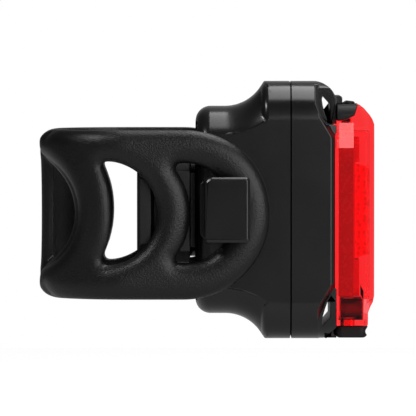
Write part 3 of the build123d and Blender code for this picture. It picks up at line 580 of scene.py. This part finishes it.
def deepen_seam(shape):
    """Draws the edge at the housings' seam in, so that the seam is a dark line."""
    for point in shape.verts:
        if abs(point.co.x - seam_x) > hook_slack:
            continue
        y = max(0.0, abs(point.co.y) - body_side + body_corner)
        z = max(0.0, abs(point.co.z) - body_top + body_corner)
        reach = math.hypot(y, z)
        if reach > body_corner - seam_rim:
            point.co.y -= math.copysign(seam_depth * y / reach, point.co.y)
            point.co.z -= math.copysign(seam_depth * z / reach, point.co.z)


def shape_hooks(shape):
    """Squares the hook heads' rear, leans their corner facet outwards and deepens the seam."""
    deepen_seam(shape)
    for point in shape.verts:
        depth = hook_face - abs(point.co.y)
        if depth > hook_depth or abs(point.co.z) > hook_top + merge_distance:
            continue
        lead = point.co.x - hook_rear
        if abs(lead + hook_top - point.co.z + depth - hook_cut) < hook_slack:
            point.co.y = math.copysign(hook_face - depth * facet_lean, point.co.y)
        elif depth < merge_distance and abs(lead - hook_bevel) < hook_slack:
            point.co.x = hook_rear


def on_side(point):
    """Whether a point lies in one of the lens's flat sides."""
    return abs(abs(point.y) - lens_side) < merge_distance


def cut_sides(shape):
    """Cuts the lens's flat sides along the borders of the facet."""
    levels = [(0, facet_back), (0, facet_back - facet_wall),
              (0, facet_front), (0, facet_front + facet_wall),
              (2, facet_foot), (2, facet_top), (2, facet_top + facet_wall)]
    for axis, level in levels:
        sides = [face for face in shape.faces
                 if abs(face.normal.y) > side_normal and on_side(face.calc_center_median())]
        normal = Vector()
        normal[axis] = 1
        parts = dict.fromkeys(part for face in sides for part in (face, *face.edges, *face.verts))
        bmesh.ops.bisect_plane(shape, geom=list(parts), dist=merge_distance / 2,
                               plane_co=normal * level, plane_no=normal)


def at_facet(point):
    """Whether a point is in the facet or just beside it."""
    return (facet_back - 2 * facet_wall < point.x < facet_front + 2 * facet_wall
            and facet_foot - facet_wall < point.z < facet_top + 2 * facet_wall)


def lens_piece():
    """The lens, with a slanted facet in each side wall."""
    shape = merged("lens")
    soften(shape, lens_edge)
    cut_sides(shape)
    for vertex in shape.verts:
        point = vertex.co
        inside = facet_back - merge_distance < point.x < facet_front + merge_distance
        if inside and abs(point.z - facet_top) < merge_distance and on_side(point):
            point.y -= math.copysign(facet_depth, point.y)
    for edge in shape.edges:
        if all(at_facet(end.co) for end in edge.verts):
            edge.smooth = False
    shade_evenly(dress("lens_skin", finished_mesh("lens", shape), "housing", "lens"))


def hinge_root():
    """The rubber root of the port cover, with the heel that fills the corner behind the hinge."""
    shape = merged("cover_anchor")
    points = [(heel_back, heel_foot), (heel_shoulder, heel_top)]
    for angle in heel_turns:
        turn = math.radians(angle)
        points.append((hinge.x + heel_hollow * math.cos(turn),
                       hinge.z + heel_hollow * math.sin(turn)))
    points.append((points[-1][0], heel_foot))
    rim = [shape.verts.new((x, -heel_half_width, z)) for x, z in points]
    face = shape.faces.new(rim)
    grown = bmesh.ops.extrude_face_region(shape, geom=[face])["geom"]
    moved = [part for part in grown if isinstance(part, bmesh.types.BMVert)]
    bmesh.ops.translate(shape, verts=moved, vec=(0, 2 * heel_half_width, 0))
    bmesh.ops.recalc_face_normals(shape, faces=shape.faces)
    soften(shape, rubber_edge)
    mesh = finished_mesh("cover root", shape)
    shade_evenly(dress("cover_root", mesh, "housing", "cover_anchor"))


def arm_radius(point):
    """Distance of a point from the strap's middle plane or bend axis, and the way outwards."""
    if point.x > strap_bend_x:
        return abs(point.y), Vector((0, math.copysign(1, point.y), 0))
    flat = Vector((point.x - strap_bend_x, point.y, 0))
    return flat.length, flat.normalized()


def strap_blank():
    """Both halves of the strap in one bmesh, still with the CAD's square edges."""
    shape = bmesh.new()
    for half in ("strap_fixed_half", "strap_free_half"):
        shape.from_mesh(nodes[half].data)
    bmesh.ops.remove_doubles(shape, verts=shape.verts, dist=merge_distance)
    return shape


def strap_outline(shape):
    """Points along the edges of the strap's outer face."""
    spots = []
    for edge in shape.edges:
        ends = [vertex.co for vertex in edge.verts]
        if not edge.is_manifold or edge.calc_face_angle() < outline_angle:
            continue
        if min(arm_radius(end)[0] for end in ends) < strap_outer - outline_depth:
            continue
        steps = max(1, math.ceil(edge.calc_length() / outline_step))
        spots += [ends[0].lerp(ends[1], step / steps) for step in range(steps + 1)]
    tree = KDTree(len(spots))
    for index, spot in enumerate(spots):
        tree.insert(spot, index)
    tree.balance()
    return tree


def waist(point):
    """How far the middle of the bend draws in between its two rails."""
    height = min(1.0, abs(point.z - waist_z) / waist_height)
    reach = min(1.0, abs(point.y) / waist_reach)
    return waist_depth * math.sqrt(1 - height * height) * (1 - reach) if point.x < 0 else 0.0


def voxel_skin(shape):
    """One closed skin of small even faces round a bmesh."""
    blank = placed("blank", finished_mesh("blank", shape))
    skin = blank.modifiers.new("skin", "REMESH")
    skin.mode = "VOXEL"
    skin.voxel_size = strap_voxel
    graph = bpy.context.evaluated_depsgraph_get()
    mesh = bpy.data.meshes.new_from_object(blank.evaluated_get(graph))
    bpy.data.objects.remove(blank)
    result = bmesh.new()
    result.from_mesh(mesh)
    return result


def relax(shape):
    """Draws every corner of a bmesh towards its neighbours."""
    bmesh.ops.smooth_vert(shape, verts=shape.verts, factor=relax_share, use_axis_x=True,
                          use_axis_y=True, use_axis_z=True)


def moulded_strap():
    """The silicone strap, one moulding of both halves with domed arms."""
    blank = strap_blank()
    rims = strap_outline(blank)
    shape = voxel_skin(blank)
    relax(shape)
    inner = strap_outer - strap_thickness
    for vertex in shape.verts:
        radius, outwards = arm_radius(vertex.co)
        distance = rims.find(vertex.co + outwards * (strap_outer - radius))[2]
        share = max(0.0, 1 - distance / dome_width)
        drop = dome_depth * (1 - math.sqrt(1 - share * share)) + waist(vertex.co)
        vertex.co -= outwards * (max(0.0, radius - inner) * drop / strap_thickness)
        vertex.co.z -= crest_drop * max(0.0, (vertex.co.z - crest_foot) / crest_height)
    for _ in range(dome_passes):
        relax(shape)
    mesh = finished_mesh("strap", shape)
    strap = dress("strap", mesh, None, "strap_fixed_half", "strap_free_half")
    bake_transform(strap)


def lamp(name, place, size, power, aim):
    """A soft rectangular lamp."""
    light = bpy.data.lights.new(name, "AREA")
    light.shape = "RECTANGLE"
    light.size, light.size_y = size
    light.energy = power
    made = placed(name, light)
    made.location = place
    made.rotation_euler = (aim - place).to_track_quat("-Z", "Y").to_euler()


def add_camera():
    """The photograph's view."""
    camera = placed("camera", bpy.data.cameras.new("camera"))
    camera.data.lens = camera_lens
    camera.data.sensor_width = camera_sensor
    tilt = math.radians(camera_elevation)
    away = Vector((0, -math.cos(tilt), math.sin(tilt)))
    camera.location = camera_target + away * camera_distance
    camera.rotation_euler = (-away).to_track_quat("-Z", "Y").to_euler()
    bpy.context.scene.camera = camera


def add_world():
    """White all round as seen and softer as a light, with darker reflections to the near side."""
    world = bpy.data.worlds.new("studio")
    bpy.context.scene.world = world
    world.use_nodes = True
    world.node_tree.nodes.clear()
    sky = Nodes(world.node_tree)
    way = sky.node("TexCoord")
    along = sky.node("SeparateXYZ", None, {0: way})
    across = sky.node("SeparateXYZ", None, {0: way}, output=1)
    shade = sky.node("MapRange", None, {
        "Value": across, "From Min": gloss_from, "From Max": gloss_to,
        "To Min": gloss_near, "To Max": gloss_far})
    side = sky.node("MapRange", None, {
        "Value": along, "From Min": share_from, "From Max": share_to,
        "To Min": left_share, "To Max": 1.0})
    light = sky.node("Background", None, {"Strength": side * daylight})
    gloss = sky.node("Background", None, {"Strength": side * shade})
    white = sky.node("Background", None, {"Color": (1, 1, 1, 1)})
    dim = sky.node("MixShader", None, {0: sky.ray("Glossy"), 1: light, 2: gloss})
    mixed = sky.node("MixShader", None, {0: sky.seen(), 1: dim, 2: white})
    sky.node("OutputWorld", None, {"Surface": mixed})


def add_floor():
    """A pale floor that shows white and keeps the light's shadow."""
    shape = bmesh.new()
    bmesh.ops.create_grid(shape, x_segments=1, y_segments=1, size=floor_size / 2)
    bmesh.ops.translate(shape, verts=shape.verts, vec=(0, 0, cad_box[0][2] - floor_drop))
    floor = placed("floor", finished_mesh("floor", shape))
    material = bpy.data.materials.new("floor")
    material.use_nodes = True
    material.node_tree.nodes.clear()
    coat = Nodes(material.node_tree)
    strength = coat.seen() * floor_glow + coat.ray("Glossy") * floor_gloss
    glow = coat.node("Emission", None, {"Strength": strength})
    matt = coat.node("BsdfDiffuse", None, {"Color": floor_colour})
    both = coat.node("AddShader", None, {0: matt, 1: glow})
    coat.node("OutputMaterial", None, {"Surface": both})
    floor.data.materials.append(material)


bpy.context.scene.view_settings.view_transform = "Standard"
add_camera()
add_world()
add_floor()
lamp("top softbox", *top_lamp)
lamp("side softbox", *side_lamp)
lamp("left softbox", *left_lamp)
lamp("window lamp", *window_lamp)

for name, node in nodes.items():
    node.material_slots[0].material = finishes[slots[name]]

softened_piece("rear_housing", "housing", housing_edge, reshape=shape_hooks)
softened_piece("front_housing", "housing", housing_edge, reshape=deepen_seam)
softened_piece("saddle", "housing", saddle_edge)
lens_piece()
softened_piece("button_pad", "housing", rubber_edge)
softened_piece("power_button", "button", key_edge)
hinge_root()
softened_piece("port_cover", "cover", rubber_edge)
moulded_strap()
